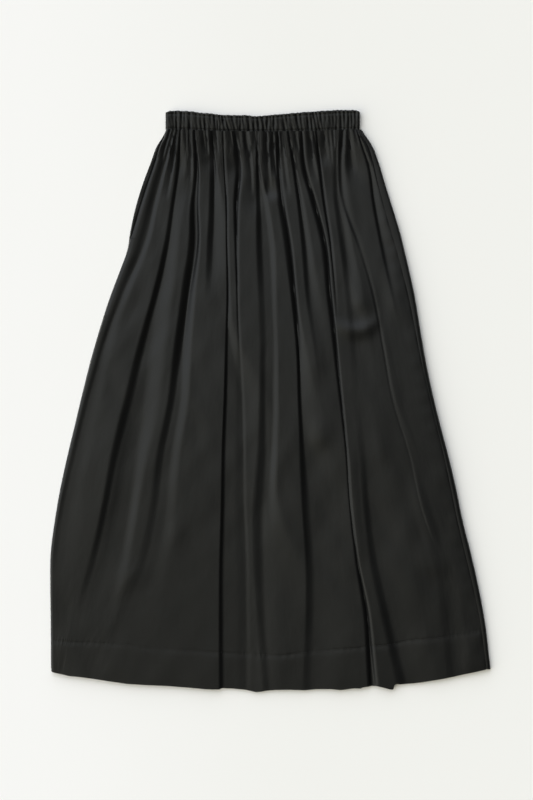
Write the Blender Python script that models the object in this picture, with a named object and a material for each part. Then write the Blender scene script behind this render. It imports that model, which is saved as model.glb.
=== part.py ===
"""A gathered satin skirt laid flat: waist towards +Y, front side up, lying on z = 0.

Four pieces, each its own object: the front panel, the back panel, the elasticated waistband
and the facing that shows in the mouth of the left side pocket.

The cloth is described by cloth lines. A cloth line is one thread of the front that runs from
the waist seam to the hem, and it is named by its x at the waist seam. The long folds are cloth
lines whose path is given level by level, and every other line keeps its share of the way
between the two long folds beside it. Tables and sizes are in millimetres.
"""

from collections import namedtuple

import bmesh
import bpy
import numpy as np

MM = 0.001

# ---- walls and gaps
CLOTH_WALL = 1.2
BACK_WALL = 1.5
FACING_WALL = 1.0
BAND_WALL = 3.0
SEAM_GAP = 0.3
BACK_TOP = BACK_WALL
FRONT_REST = BACK_TOP + SEAM_GAP
FACING_TOP = FRONT_REST + FACING_WALL
MOUTH_REST = FACING_TOP + SEAM_GAP
VALLEY_TOP = FRONT_REST + CLOTH_WALL

# ---- outline seen from above, at heights above the middle of the skirt
Side = namedtuple("Side", "height left seam right")
SIDES = (
    Side(409, -156.8, 132.0, 138.0),
    Side(400, -161.0, 138.8, 144.0),
    Side(385, -170.5, 147.2, 153.9),
    Side(362, -179.1, 154.5, 162.9),
    Side(326, -192.5, 162.8, 173.8),
    Side(290, -203.3, 172.2, 185.0),
    Side(254, -211.0, 182.3, 195.9),
    Side(227, -215.4, 190.2, 202.5),
    Side(199, -225.5, 197.7, 209.2),
    Side(157, -241.3, 208.4, 218.2),
    Side(109, -256.8, 218.0, 226.2),
    Side(61, -270.7, 227.6, 234.4),
    Side(13, -282.8, 238.4, 244.5),
    Side(-35, -294.2, 249.8, 256.2),
    Side(-84, -306.0, 262.0, 269.1),
    Side(-132, -316.4, 272.2, 280.4),
    Side(-180, -324.7, 282.0, 290.2),
    Side(-228, -330.9, 293.2, 302.3),
    Side(-276, -331.6, 304.6, 313.3),
    Side(-324, -331.0, 314.8, 322.5),
    Side(-403, -330.5, 326.0, 332.4),
)
WAIST_SIDE, WAIST_SAG, WAIST_CENTRE, WAIST_HALF = 409.0, 3.6, -10.5, 146.0

# ---- the hem's edge, left to right; the step at 185 is the corner of a pleat
Hem = namedtuple("Hem", "x y")
HEM = (
    Hem(-331, -406.5), Hem(-323, -409.7), Hem(-306, -414.0), Hem(-288, -415.7),
    Hem(-270, -418.1), Hem(-243, -422.1), Hem(-216, -425.9), Hem(-189, -427.6),
    Hem(-153, -429.2), Hem(-126, -431.3), Hem(-99, -433.7), Hem(-80, -434.5),
    Hem(-73, -432.7), Hem(-59.5, -433.1), Hem(-37, -435.2), Hem(-22, -438.6),
    Hem(-14, -438.0), Hem(-7, -436.6), Hem(8, -435.3), Hem(31, -435.0), Hem(53, -435.7),
    Hem(69, -434.2), Hem(91, -433.9), Hem(106, -435.2), Hem(121, -433.4), Hem(135, -432.8),
    Hem(141, -430.9), Hem(151, -429.7), Hem(160, -429.4), Hem(166, -430.7), Hem(174, -432.8),
    Hem(180, -434.6), Hem(185.1, -434.3), Hem(186.0, -427.8), Hem(190.5, -426.4),
    Hem(214.5, -425.6), Hem(228, -424.0), Hem(242, -421.7), Hem(260, -418.7),
    Hem(278, -415.2), Hem(296, -411.3), Hem(314, -407.6), Hem(327.4, -404.6),
    Hem(332, -402.8),
)
HEM_LEVEL, HEM_CORNER = -425.0, 185.1

# ---- long folds: x of the valley at each level, then how deep it is there (1 = down to the back)
LEVELS = (405, 300, 200, 80, -80, -240, -400)
Fold = namedtuple("Fold", "name waist hip seat thigh knee calf hem")
FOLD_X = (
    Fold("pocket", -150, -182, -215, -255, -295.5, -324, -323),
    Fold("left outer", -136.5, -147, -165, -197, -234.5, -270, -309),
    Fold("left inner", -111.5, -117.5, -122, -140.5, -166.5, -193, -245),
    Fold("crevice", -71.5, -66.5, -65.5, -66.5, -70.5, -73.5, -73.5),
    Fold("crevice edge", -57, -53, -51.5, -47.5, -42, -36, -33),
    Fold("centre", -21, -18.5, -15.5, -11.5, -13.5, -17.5, -8.5),
    Fold("right inner", 10, 16, 31, 41, 48.5, 57.5, 57.5),
    Fold("right middle", 30, 44, 53, 69.5, 83, 98, 106),
    Fold("pleat", 46, 63.5, 83, 97.5, 113.5, 130, 149),
    Fold("pleat back", 93, 99, 112.5, 124, 139, 155, 192.5),
    Fold("right outer", 105, 109, 142, 170, 208.5, 243, 275),
    Fold("seam side", 125, 155, 177, 202, 240, 275, 305),
)
FOLD_DEPTH = (
    Fold("pocket", 0.60, 0.60, 0.70, 0.75, 0.60, 0.25, 0.0),
    Fold("left outer", 0.75, 0.75, 0.80, 0.75, 0.60, 0.45, 0.05),
    Fold("left inner", 0.80, 0.90, 0.95, 0.80, 0.50, 0.30, 0.05),
    Fold("crevice", 0.70, 0.80, 0.90, 0.95, 0.95, 0.95, 1.0),
    Fold("crevice edge", 0.60, 0.65, 0.65, 0.30, 0.15, 0.0, 0.0),
    Fold("centre", 0.60, 0.70, 0.70, 0.70, 0.60, 0.60, 0.50),
    Fold("right inner", 0.75, 0.85, 0.95, 0.90, 0.85, 0.75, 0.35),
    Fold("right middle", 0.70, 0.70, 0.55, 0.25, 0.0, 0.0, 0.0),
    Fold("pleat", 0.80, 0.90, 0.95, 0.90, 0.75, 0.90, 1.0),
    Fold("pleat back", 0.60, 0.45, 0.35, 0.0, 0.40, 0.80, 0.95),
    Fold("right outer", 0.60, 0.55, 0.30, 0.25, 0.25, 0.05, 0.0),
    Fold("seam side", 0.60, 0.60, 0.45, 0.05, 0.0, 0.0, 0.0),
)
Flank = namedtuple("Flank", "name left right")
FLANKS = (
    Flank("pocket", 9.0, 7.0), Flank("left outer", 12.0, 7.0), Flank("left inner", 15.0, 7.0),
    Flank("crevice", 7.0, 4.5), Flank("crevice edge", 7.0, 5.0), Flank("centre", 9.0, 10.0),
    Flank("right inner", 9.0, 6.0), Flank("right middle", 8.0, 6.0), Flank("pleat", 9.0, 5.0),
    Flank("pleat back", 11.0, 9.0), Flank("right outer", 8.0, 6.0), Flank("seam side", 8.0, 6.0),
)
FLANK_AT_WAIST = 4.2
FLANK_GROWS_OVER = 110.0

# ---- short gathers between the long folds: x at the waist seam, depth there, how far they reach
Gather = namedtuple("Gather", "x depth reach")
GATHERS = (
    Gather(-143.5, 0.60, 95), Gather(-129.0, 0.50, 50), Gather(-121.0, 0.65, 100),
    Gather(-104.5, 0.50, 45), Gather(-97.0, 0.55, 60), Gather(-89.0, 0.70, 210),
    Gather(-80.0, 0.50, 50), Gather(-64.0, 0.50, 70), Gather(-48.5, 0.55, 60),
    Gather(-41.0, 0.50, 45), Gather(-33.5, 0.65, 115), Gather(-27.0, 0.50, 50),
    Gather(-13.0, 0.70, 95), Gather(-5.5, 0.50, 45), Gather(2.5, 0.60, 75),
    Gather(17.5, 0.60, 90), Gather(24.0, 0.50, 50), Gather(38.0, 0.50, 60),
    Gather(54.5, 0.65, 85), Gather(65.0, 0.70, 240), Gather(75.0, 0.50, 55),
    Gather(84.0, 0.45, 45), Gather(112.0, 0.60, 70), Gather(118.5, 0.50, 50),
)

# ---- soft swells (+) and dents (-) that lie along the cloth lines, as a share of the height
Swell = namedtuple("Swell", "x y half_length half_width share")
SWELLS = (
    Swell(-222, 60, 210, 13, 0.30), Swell(-190, -60, 190, 15, 0.35),
    Swell(-118, 0, 170, 14, 0.25), Swell(-130, 190, 60, 9, 0.20),
    Swell(5, 130, 190, 10, 0.40), Swell(26, 40, 160, 7, 0.25),
    Swell(128, 85, 34, 22, -0.35), Swell(130, 116, 18, 26, 0.20),
    Swell(72, 32, 40, 14, -0.20), Swell(66, -74, 26, 24, -0.25),
    Swell(232, -170, 60, 12, 0.20), Swell(248, -268, 26, 20, -0.20),
    Swell(-30, -210, 70, 15, 0.20), Swell(165, -330, 110, 9, 0.35),
)

# ---- height of the cloth over the floor of its valleys, level by level
Rise = namedtuple("Rise", "waist hip seat thigh knee calf hem")
RISE = Rise(5.6, 9.0, 9.0, 8.5, 7.5, 6.5, 5.0)
SIDE_ROUND, SEAM_ROUND = 11.0, 14.0
SEAM_SHARE = 0.75

# ---- the hem is turned up inside, so the cloth stands a little higher below its stitching
HEM_DEPTH, HEM_STEP, HEM_STEP_LENGTH = 54.0, 0.6, 5.0

# ---- pocket mouth at the left side: where its edge stands back from the outline
POCKET_LOW, POCKET_HIGH, POCKET_SHOWS = 243.0, 402.0, 7.0
FACING_TUCK = 9.0
FACING_CLEAR_BELOW, FACING_RAMP = 60.0, 20.0
FACING_END, FACING_ROWS, FACING_INSET = 3.0, 8, 0.3
EDGE_SETBACK = 0.4

# ---- the back panel's rolled side, as steps round the roll, and its flat columns
ROLL_SHARE, ROLL_STEPS, ROLL_INSIDE = 0.92, 6, 0.4
FLAT_COLUMNS = 9
BACK_HEM_SHORT = 3.5

# ---- waistband: its ends, its top edge, and the elastic casing's gathers
BAND_LEFT, BAND_RIGHT = -157.4, 135.5
BAND_TOP = (
    Hem(-157.4, 434.0), Hem(-151, 436.5), Hem(-142, 437.2), Hem(-124, 436.4), Hem(-115, 435.6),
    Hem(-106, 434.0), Hem(-88, 432.8), Hem(-79, 431.5), Hem(-66, 430.3), Hem(-34, 430.3),
    Hem(-25, 428.7), Hem(-16, 428.9), Hem(2, 430.6), Hem(20, 432.2), Hem(38, 433.7),
    Hem(56, 435.2), Hem(75, 436.5), Hem(102, 438.1), Hem(128, 438.0), Hem(135.5, 435.0),
)
BAND_BODY = 8.0
BAND_SLOT = BAND_BODY - 2 * BAND_WALL
BAND_RIDGE, BAND_SLANT = 1.5, 5.0
BAND_ROWS = (0.0, 0.12, 0.88, 1.0)
BAND_RIM = 0.82
BAND_JOIN, JOIN_FLATNESS = (78.0, 103.0), 0.3
RIDGE_CHANGE = 2.4
BAND_LEAN_ROOM = 20.0
BAND_END_STEPS, BAND_BACK_COLUMNS = 5, 14

# ---- rows of the panels, as shares of the way from the waist seam to the hem
GATHER_ZONE, GATHER_ROWS, SKIRT_ROWS = 0.115, 7, 17
LOOSE_START = 0.15
COLUMN_STEP = 13.5
COLUMN_LEVEL = -80.0

# ---- finish
SATIN, SATIN_ROUGHNESS = (0.012, 0.012, 0.013), 0.42


def smooth_curve(at, knots, values):
    """Smooth curve through the knots: each piece is a cubic whose slope at a knot is that of
    the parabola through it and its neighbours; past the ends it runs on straight."""
    knots, values = np.asarray(knots, float), np.asarray(values, float)
    if knots[0] > knots[-1]:
        knots, values = knots[::-1], values[::-1]
    slopes = np.gradient(values, knots)
    at = np.asarray(at, float)
    inside = np.clip(at, knots[0], knots[-1])
    k = np.clip(np.searchsorted(knots, inside, side="right") - 1, 0, len(knots) - 2)
    step = knots[k + 1] - knots[k]
    t = (inside - knots[k]) / step
    curve = (
        values[k] * (1 + 2 * t) * (1 - t) ** 2
        + values[k + 1] * t**2 * (3 - 2 * t)
        + step * (slopes[k] * t * (1 - t) ** 2 - slopes[k + 1] * t**2 * (1 - t))
    )
    past = np.where(at > inside, slopes[-1], slopes[0])
    return curve + past * (at - inside)


def side_at(height, which):
    """x of the left outline, the right-hand seam or the right outline at a height."""
    return smooth_curve(height, [s.height for s in SIDES], [getattr(s, which) for s in SIDES])


def waist_seam(x):
    """y of the waist seam: a shallow sag, lowest at its middle."""
    return WAIST_SIDE - WAIST_SAG * np.clip(1 - ((x - WAIST_CENTRE) / WAIST_HALF) ** 2, 0, 1)


def hem_edge(x):
    """y of the hem's edge at x, straight from point to point."""
    return np.interp(x, [h.x for h in HEM], [h.y for h in HEM])


def pocket_setback(height):
    """How far the pocket's mouth stands back from the outline: the root of half a sine wave."""
    t = np.clip((height - POCKET_LOW) / (POCKET_HIGH - POCKET_LOW), 0, 1)
    return POCKET_SHOWS * np.sqrt(np.sin(np.pi * t).clip(0))


def front_left(height):
    """x of the front panel's left edge."""
    return side_at(height, "left") + EDGE_SETBACK + pocket_setback(height)


def front_right(height):
    """x of the front panel's right edge, half a gap short of the seam."""
    return side_at(height, "seam") - SEAM_GAP / 2


def guide_names():
    """Cloth-line names of the two edges and the long folds: their x at the waist level."""
    edges = (float(front_left(LEVELS[0])), float(front_right(LEVELS[0])))
    return np.array([edges[0], *(f.waist for f in FOLD_X), edges[1]])


def line_x(name, height):
    """x of a cloth line at a height: its share of the way between the guides beside it."""
    names = guide_names()
    name, height = np.broadcast_arrays(np.asarray(name, float), np.asarray(height, float))
    paths = [front_left(height)]
    paths += [smooth_curve(height, LEVELS, f[1:]) for f in FOLD_X]
    paths = np.stack([*paths, front_right(height)])
    k = np.clip(np.searchsorted(names, name, side="right") - 1, 0, len(names) - 2)
    share = (name - names[k]) / (names[k + 1] - names[k])
    low = np.take_along_axis(paths, k[None], 0)[0]
    high = np.take_along_axis(paths, k[None] + 1, 0)[0]
    return low + share * (high - low)


def line_through(x, height):
    """Name of the cloth line that passes through x at a height."""
    names = guide_names()
    return np.interp(x, line_x(names, np.full(len(names), float(height))), names)


def valley(offset, left, right):
    """A valley's profile across it: 1 at its bottom, 0 past its flanks, a parabola on each."""
    reach = np.where(offset < 0, left, right)
    return np.clip(1 - np.abs(offset) / reach, 0, 1) ** 1.7


def rest_at_side(height):
    """Lowest z of the front at its left side: on the facing at the pocket, on the back below."""
    onto_facing = np.clip((height - POCKET_LOW + FACING_CLEAR_BELOW) / FACING_RAMP, 0, 1)
    return FRONT_REST + (MOUTH_REST - FRONT_REST) * onto_facing


def front_height(name, height):
    """z of the front's upper side: the rise over the valley floor, rounded down at the side,
    times what each fold, gather and dent leaves of it."""
    x = line_x(name, height)
    below_seam = WAIST_SIDE - height
    grown = np.clip(below_seam / FLANK_GROWS_OVER, 0, 1)
    rise = smooth_curve(height, LEVELS, RISE)
    for s in SWELLS:
        across = (x - line_x(line_through(s.x, s.y), height)) / s.half_width
        along = (height - s.y) / s.half_length
        rise = rise * (1 + s.share * np.exp(-(across**2)) * np.exp(-(along**2)))
    for fold, depths, flank in zip(FOLD_X, FOLD_DEPTH, FLANKS):
        depth = np.clip(smooth_curve(height, LEVELS, depths[1:]), 0, 1)
        left = FLANK_AT_WAIST + (flank.left - FLANK_AT_WAIST) * grown
        right = FLANK_AT_WAIST + (flank.right - FLANK_AT_WAIST) * grown
        rise = rise * (1 - depth * valley(x - line_x(fold.waist, height), left, right))
    for g in GATHERS:
        depth = g.depth * np.clip(1 - below_seam / g.reach, 0, 1) ** 0.7
        flank = FLANK_AT_WAIST + 0.02 * below_seam
        rise = rise * (1 - depth * valley(x - line_x(g.x, height), flank, flank))
    to_seam = np.clip((front_right(height) - x) / SEAM_ROUND, 0, 1)
    seam_rise = SEAM_SHARE * smooth_curve(height, LEVELS, RISE)
    rise = seam_rise + (rise - seam_rise) * np.sqrt(1 - (1 - to_seam) ** 2)
    edge_rest = rest_at_side(height)
    from_side = np.clip((x - front_left(height)) / SIDE_ROUND, 0, 1)
    turned = np.clip((hem_edge(x) + HEM_DEPTH - height) / HEM_STEP_LENGTH, 0, 1)
    full = VALLEY_TOP + rise + HEM_STEP * turned
    return edge_rest + (full - edge_rest) * np.sqrt(1 - (1 - from_side) ** 2)


def seam_height(height):
    """z of the upper side along the right-hand seam."""
    return VALLEY_TOP + SEAM_SHARE * smooth_curve(height, LEVELS, RISE)


def row_shares():
    """Shares of the way down at each row: close together in the gathers, even below them,
    and one on each side of the hem's stitching."""
    gathered = GATHER_ZONE * (np.arange(GATHER_ROWS + 1) / GATHER_ROWS) ** 1.5
    length = WAIST_SIDE - HEM[len(HEM) // 2].y
    stitching = 1 - HEM_DEPTH / length
    loose = np.linspace(LOOSE_START, stitching, SKIRT_ROWS)
    loose = [*loose, stitching + HEM_STEP_LENGTH / length, (1 + stitching) / 2, 1.0]
    return gathered, np.array(loose)


def gathered_lines():
    """Cloth lines of the gathered rows: one in each valley and two on each crest."""
    valleys = sorted([*guide_names(), *(g.x for g in GATHERS)])
    first = valleys[0] + (valleys[1] - valleys[0]) * np.array([0.0, 0.1, 0.3, 0.6])
    lines = list(first)
    for a, b in zip(valleys[1:-1], valleys[2:]):
        lines += [a, a + (b - a) / 3, a + (b - a) * 2 / 3]
    return np.array([*lines, valleys[-1]])


def loose_lines():
    """Cloth lines below the gathers: at each valley and its flanks, the rest evenly spread."""
    edges = line_x(guide_names()[[0, -1]], COLUMN_LEVEL)
    marks = [edges[0], edges[0] + 0.9, edges[0] + 3.5, edges[1] - 5, edges[1]]
    for fold, depths, flank in zip(FOLD_X, FOLD_DEPTH, FLANKS):
        x = float(line_x(fold.waist, COLUMN_LEVEL))
        marks.append(x)
        if max(depths[4:]) > 0.3:
            marks += [x - flank.left, x + flank.right]
    marks = sorted(m for m in marks if edges[0] <= m <= edges[1])
    spread = [marks[0]]
    for m in marks[1:]:
        if m - spread[-1] < 0.8:
            continue
        extra = int(np.ceil((m - spread[-1]) / COLUMN_STEP))
        spread += list(np.linspace(spread[-1], m, extra + 1)[1:])
    pleat_corner = line_through([HEM_CORNER - 0.5, HEM_CORNER + 0.8], HEM_LEVEL)
    return np.sort([*line_through(np.array(spread), COLUMN_LEVEL), *pleat_corner])


def panel_point_heights(name, share):
    """y of a cloth line's points, from the waist seam down to the hem's edge."""
    top = waist_seam(line_x(name, LEVELS[0])) - SEAM_GAP / 2
    bottom = hem_edge(line_x(name, HEM_LEVEL))
    return top + (bottom - top) * share


def front_grid(lines, shares):
    """Upper-side points of the front for a set of cloth lines and rows."""
    name, share = np.meshgrid(lines, shares)
    height = panel_point_heights(name, share)
    return np.stack([line_x(name, height), height, front_height(name, height)], axis=-1)


def grid_normals(points):
    """Unit normals of a grid from the cross product of its two directions, facing up."""
    across = np.gradient(points, axis=1)
    down = np.gradient(points, axis=0)
    normal = np.cross(down, across)
    return normal / np.linalg.norm(normal, axis=-1, keepdims=True)


def under_side(points, wall, lowest):
    """The wall's other side: each point moved in along its normal, never under its rest."""
    under = points - grid_normals(points) * wall
    under[..., 2] = np.maximum(under[..., 2], lowest)
    return under


def grid_faces(first, rows, columns):
    """Quads of a grid whose points are numbered row by row from `first`, facing up."""
    k = first + np.arange(rows - 1)[:, None] * columns + np.arange(columns - 1)
    k = k.ravel()
    return np.stack([k, k + columns, k + columns + 1, k + 1], axis=-1).tolist()


def zip_faces(upper, upper_names, lower, lower_names):
    """Triangles between two rows of unlike count: the side whose next name is smaller goes on."""
    faces, i, j = [], 0, 0
    while i < len(upper) - 1 or j < len(lower) - 1:
        upper_next = upper_names[i + 1] if i < len(upper) - 1 else np.inf
        lower_next = lower_names[j + 1] if j < len(lower) - 1 else np.inf
        if upper_next <= lower_next:
            faces.append([upper[i], lower[j], upper[i + 1]])
            i += 1
        else:
            faces.append([upper[i], lower[j], lower[j + 1]])
            j += 1
    return faces


def make_piece(name, points, faces, colour, roughness):
    """One closed object from points in millimetres, with its own satin or tape material."""
    mesh = bpy.data.meshes.new(name)
    mesh.from_pydata((np.asarray(points) * MM).tolist(), [], faces)
    shape = bmesh.new()
    shape.from_mesh(mesh)
    bmesh.ops.recalc_face_normals(shape, faces=shape.faces)
    bmesh.ops.triangulate(shape, faces=shape.faces, quad_method="SHORT_EDGE")
    shape.to_mesh(mesh)
    shape.free()
    mesh.shade_smooth()
    material = bpy.data.materials.new(name + "_cloth")
    material.use_nodes = True
    shader = material.node_tree.nodes["Principled BSDF"]
    shader.inputs["Base Color"].default_value = (*colour, 1.0)
    shader.inputs["Roughness"].default_value = roughness
    shader.inputs["Metallic"].default_value = 0.0
    mesh.materials.append(material)
    piece = bpy.data.objects.new(name, mesh)
    bpy.context.scene.collection.objects.link(piece)
    return piece


def rest_under_front(points):
    """Lowest z allowed under the front: clear of the facing beside the pocket's mouth."""
    height = points[..., 1]
    beside = points[..., 0] < side_at(height, "left") + 2 * (POCKET_SHOWS + FACING_TUCK)
    return np.where(beside, rest_at_side(height), FRONT_REST)


def make_front_panel():
    """The front: a gathered grid and a loose grid zipped together, doubled into a wall."""
    gathered, loose = row_shares()
    fine, coarse = gathered_lines(), loose_lines()
    layers = []
    for grid in (front_grid(fine, gathered), front_grid(coarse, loose)):
        layers.append((grid, under_side(grid, CLOTH_WALL, rest_under_front(grid))))
    (top_a, under_a), (top_b, under_b) = layers
    points = np.concatenate([g.reshape(-1, 3) for g in (top_a, top_b, under_a, under_b)])
    rows_a, cols_a = top_a.shape[:2]
    rows_b, cols_b = top_b.shape[:2]
    count_a, count_b = rows_a * cols_a, rows_b * cols_b
    other = count_a + count_b
    faces = grid_faces(0, rows_a, cols_a) + grid_faces(count_a, rows_b, cols_b)
    faces += zip_faces(
        list(range(count_a - cols_a, count_a)), fine,
        list(range(count_a, count_a + cols_b)), coarse,
    )
    faces += [[i + other for i in face[::-1]] for face in faces]
    border = [k * cols_a for k in range(rows_a)]
    border += [count_a + k * cols_b for k in range(rows_b)]
    border += list(range(other - cols_b + 1, other))
    border += [count_a + (k + 1) * cols_b - 1 for k in reversed(range(rows_b - 1))]
    border += [(k + 1) * cols_a - 1 for k in reversed(range(rows_a))]
    border += list(range(cols_a - 2, 0, -1))
    for a, b in zip(border, border[1:] + border[:1]):
        faces.append([b, a, a + other, b + other])
    return make_piece("front_panel", points, faces, SATIN, SATIN_ROUGHNESS)


def wall_faces(rows, columns, ring=False):
    """Faces of a wall between an outer and an inner grid: two sheets and the rims that join
    them. A ring's last column meets its first, so it has rims at its two ends alone."""
    faces = []
    inner = rows * columns
    across = [(c, (c + 1) % columns) for c in range(columns if ring else columns - 1)]
    for r in range(rows - 1):
        for a, b in across:
            low, high = r * columns, (r + 1) * columns
            faces.append([low + a, high + a, high + b, low + b])
            faces.append([inner + low + b, inner + high + b, inner + high + a, inner + low + a])
    for r in (0, rows - 1):
        for a, b in across:
            faces.append([r * columns + a, r * columns + b,
                          inner + r * columns + b, inner + r * columns + a])
    for c in () if ring else (0, columns - 1):
        for r in range(rows - 1):
            low, high = r * columns + c, (r + 1) * columns + c
            faces.append([low, high, inner + high, inner + low])
    return faces


def make_wall(name, outer, inner, colour, roughness, ring=False):
    """A piece from the two grids of its wall."""
    points = np.concatenate([outer.reshape(-1, 3), inner.reshape(-1, 3)])
    return make_piece(name, points, wall_faces(*outer.shape[:2], ring), colour, roughness)


def back_roll(height):
    """The rolled side at a height: the seam's x, where the roll leaves the floor, how far it
    reaches past that, and its top's z."""
    seam = side_at(height, "seam") + SEAM_GAP / 2
    right = side_at(height, "right")
    top = seam_height(height)
    reach = np.minimum(ROLL_SHARE * (right - seam), top / 2)
    return seam, right - reach, reach, top


def flat_x(part, height):
    """x on the flat of the back, at a share of the way from its left side to its roll."""
    left = side_at(height, "left")
    return left + part * (back_roll(height)[1] - left)


def make_back_panel():
    """The back: flat on the floor, its right side rolled up and over to the seam."""
    share = np.concatenate(row_shares())
    outer, inner = [], []
    for part in np.arange(FLAT_COLUMNS) / FLAT_COLUMNS:
        top = waist_seam(flat_x(part, LEVELS[0])) - SEAM_GAP / 2
        bottom = hem_edge(flat_x(part, LEVELS[-1])) + BACK_HEM_SHORT
        height = top + (bottom - top) * share
        x = flat_x(part, height)
        outer.append(np.stack([x, height, np.zeros_like(x)], axis=-1))
        inner.append(np.stack([x, height, np.full_like(x, BACK_TOP)], axis=-1))
    height = panel_point_heights(np.full_like(share, guide_names()[-1]), share)
    seam, start, reach, top = back_roll(height)
    roll_inside, half_inside = np.maximum(reach - BACK_WALL, ROLL_INSIDE), top / 2 - BACK_WALL
    for turn in np.linspace(-np.pi / 2, np.pi / 2, ROLL_STEPS):
        c, s = np.cos(turn), np.sin(turn)
        outer.append(np.stack([start + reach * c, height, top / 2 * (1 + s)], axis=-1))
        inner.append(np.stack([start + roll_inside * c, height, top / 2 + half_inside * s], axis=-1))
    outer.append(np.stack([seam, height, top], axis=-1))
    inner.append(np.stack([seam, height, top - BACK_WALL], axis=-1))
    return make_wall("back_panel", np.stack(outer, 1), np.stack(inner, 1), SATIN, SATIN_ROUGHNESS)


def band_gathers():
    """x and height of the casing's gathers along its front: a valley, then two crest points."""
    valleys = sorted([*(f.waist for f in FOLD_X), *(g.x for g in GATHERS)])
    end = BAND_BODY / 2
    valleys = [v for v in valleys if BAND_LEFT + end + 3 < v < BAND_RIGHT - end - 3]
    stops = [BAND_LEFT + end, *valleys, BAND_RIGHT - end]
    xs, ridges = [], []
    for k, (a, b) in enumerate(zip(stops, stops[1:])):
        ridge = BAND_RIDGE * (0.72 + 0.28 * np.sin(RIDGE_CHANGE * k))
        if BAND_JOIN[0] < (a + b) / 2 < BAND_JOIN[1]:
            ridge *= JOIN_FLATNESS
        xs += [a, a + (b - a) / 3, a + (b - a) * 2 / 3]
        ridges += [0.0, ridge, ridge]
    return np.array([*xs, stops[-1]]), np.array([*ridges, 0.0])


def make_waistband():
    """The casing: a flat ring lying on its own back half, open at the waist and inside the
    skirt. Its front carries the gathers, which lean a little; its underside is flat."""
    xs, ridges = band_gathers()
    half, slot = BAND_BODY / 2, BAND_SLOT / 2
    turns = np.linspace(0, np.pi, BAND_END_STEPS)[1:-1]
    back = np.linspace(xs[-1], xs[0], BAND_BACK_COLUMNS)
    outer_x = [*xs, *(xs[-1] + half * np.sin(turns)), *back, *(xs[0] - half * np.sin(turns))]
    inner_x = [*xs, *(xs[-1] + slot * np.sin(turns)), *back, *(xs[0] - slot * np.sin(turns))]
    lift = [*np.ones_like(xs), *np.cos(turns), *-np.ones_like(back), *-np.cos(turns)]
    ridge = np.array([*ridges, *np.zeros(len(lift) - len(ridges))])
    outer_x, inner_x, lift = np.array(outer_x), np.array(inner_x), np.array(lift)
    grids = []
    for x, body in ((outer_x, half), (inner_x, slot)):
        rows = []
        for share in BAND_ROWS:
            rim = BAND_RIM if share in (0.0, 1.0) else 1.0
            room = np.clip(np.minimum(x - BAND_LEFT, BAND_RIGHT - x) / BAND_LEAN_ROOM, 0, 1)
            place = np.where(lift >= 1, x - BAND_SLANT * share * room, x)
            bottom = waist_seam(place) + SEAM_GAP / 2
            top = np.interp(place, [p.x for p in BAND_TOP], [p.y for p in BAND_TOP])
            front = (body * lift + (ridge if body == half else 0)) * rim
            z = half + np.where(lift > 0, front, body * lift)
            rows.append(np.stack([place, bottom + (top - bottom) * share, z], axis=-1))
        grids.append(np.stack(rows))
    return make_wall("waistband", *grids, SATIN, SATIN_ROUGHNESS, ring=True)


def make_pocket_facing():
    """The strip in the pocket's mouth: on the back panel, tucked under the front's edge."""
    height = np.linspace(POCKET_HIGH - FACING_END, POCKET_LOW + FACING_END, FACING_ROWS)[:, None]
    part = np.array([0.0, 0.5, 1.0])
    x = side_at(height, "left") + FACING_INSET + part * (POCKET_SHOWS + FACING_TUCK)
    flat = np.stack([x, height + 0 * x, np.full_like(x, FACING_TOP)], axis=-1)
    under = flat - np.array([0, 0, FACING_WALL])
    return make_wall("pocket_facing_left", flat, under, SATIN, SATIN_ROUGHNESS)


def build():
    """Clear the scene and make the four pieces."""
    for old in list(bpy.data.objects):
        bpy.data.objects.remove(old, do_unlink=True)
    make_front_panel()
    make_back_panel()
    make_waistband()
    make_pocket_facing()


build()
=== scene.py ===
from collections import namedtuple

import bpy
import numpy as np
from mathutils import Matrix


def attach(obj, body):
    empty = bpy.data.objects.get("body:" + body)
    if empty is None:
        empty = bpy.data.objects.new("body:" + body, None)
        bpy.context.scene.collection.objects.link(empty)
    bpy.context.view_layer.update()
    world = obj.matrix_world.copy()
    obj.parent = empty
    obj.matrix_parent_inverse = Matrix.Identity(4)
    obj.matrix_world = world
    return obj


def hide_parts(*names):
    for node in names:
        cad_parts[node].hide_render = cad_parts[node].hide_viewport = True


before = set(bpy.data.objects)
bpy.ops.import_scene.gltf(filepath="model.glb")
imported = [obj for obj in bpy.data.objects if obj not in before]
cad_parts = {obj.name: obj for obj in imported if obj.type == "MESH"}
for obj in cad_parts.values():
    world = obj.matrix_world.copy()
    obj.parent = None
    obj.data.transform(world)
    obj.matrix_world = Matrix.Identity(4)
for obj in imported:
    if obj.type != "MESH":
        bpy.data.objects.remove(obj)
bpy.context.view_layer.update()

# A gathered satin skirt laid flat, waist towards +Y, front up. Sizes are in millimetres until a
# mesh is made. A cloth line is one thread of the front from the waist seam to the hem, named by
# its x at the seam. The long folds are cloth lines with paths of their own, and every other one
# keeps its share of the way between the two folds beside it.

MM = 0.001
BODY = "root"


def table(columns, rows):
    """A table with named columns, from its rows."""
    row = namedtuple("Row", columns)
    return tuple(row(*values) for values in rows)


# ---- sizes of the cloth

SHELL, FACING_WALL, CLOTH_WALL = 0.6, 1.0, 1.2
BACK_TOP = 1.5
SEAM_GAP = 0.3
FRONT_REST = BACK_TOP + SEAM_GAP
FACING_TOP = FRONT_REST + FACING_WALL
MOUTH_REST = FACING_TOP + SEAM_GAP
VALLEY_TOP = FRONT_REST + CLOTH_WALL

# Levels are heights above the middle of the skirt, from the waist seam to the hem.
LEVELS = (405, 350, 300, 240, 160, 80, 0, -80, -160, -240, -320, -400)

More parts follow.
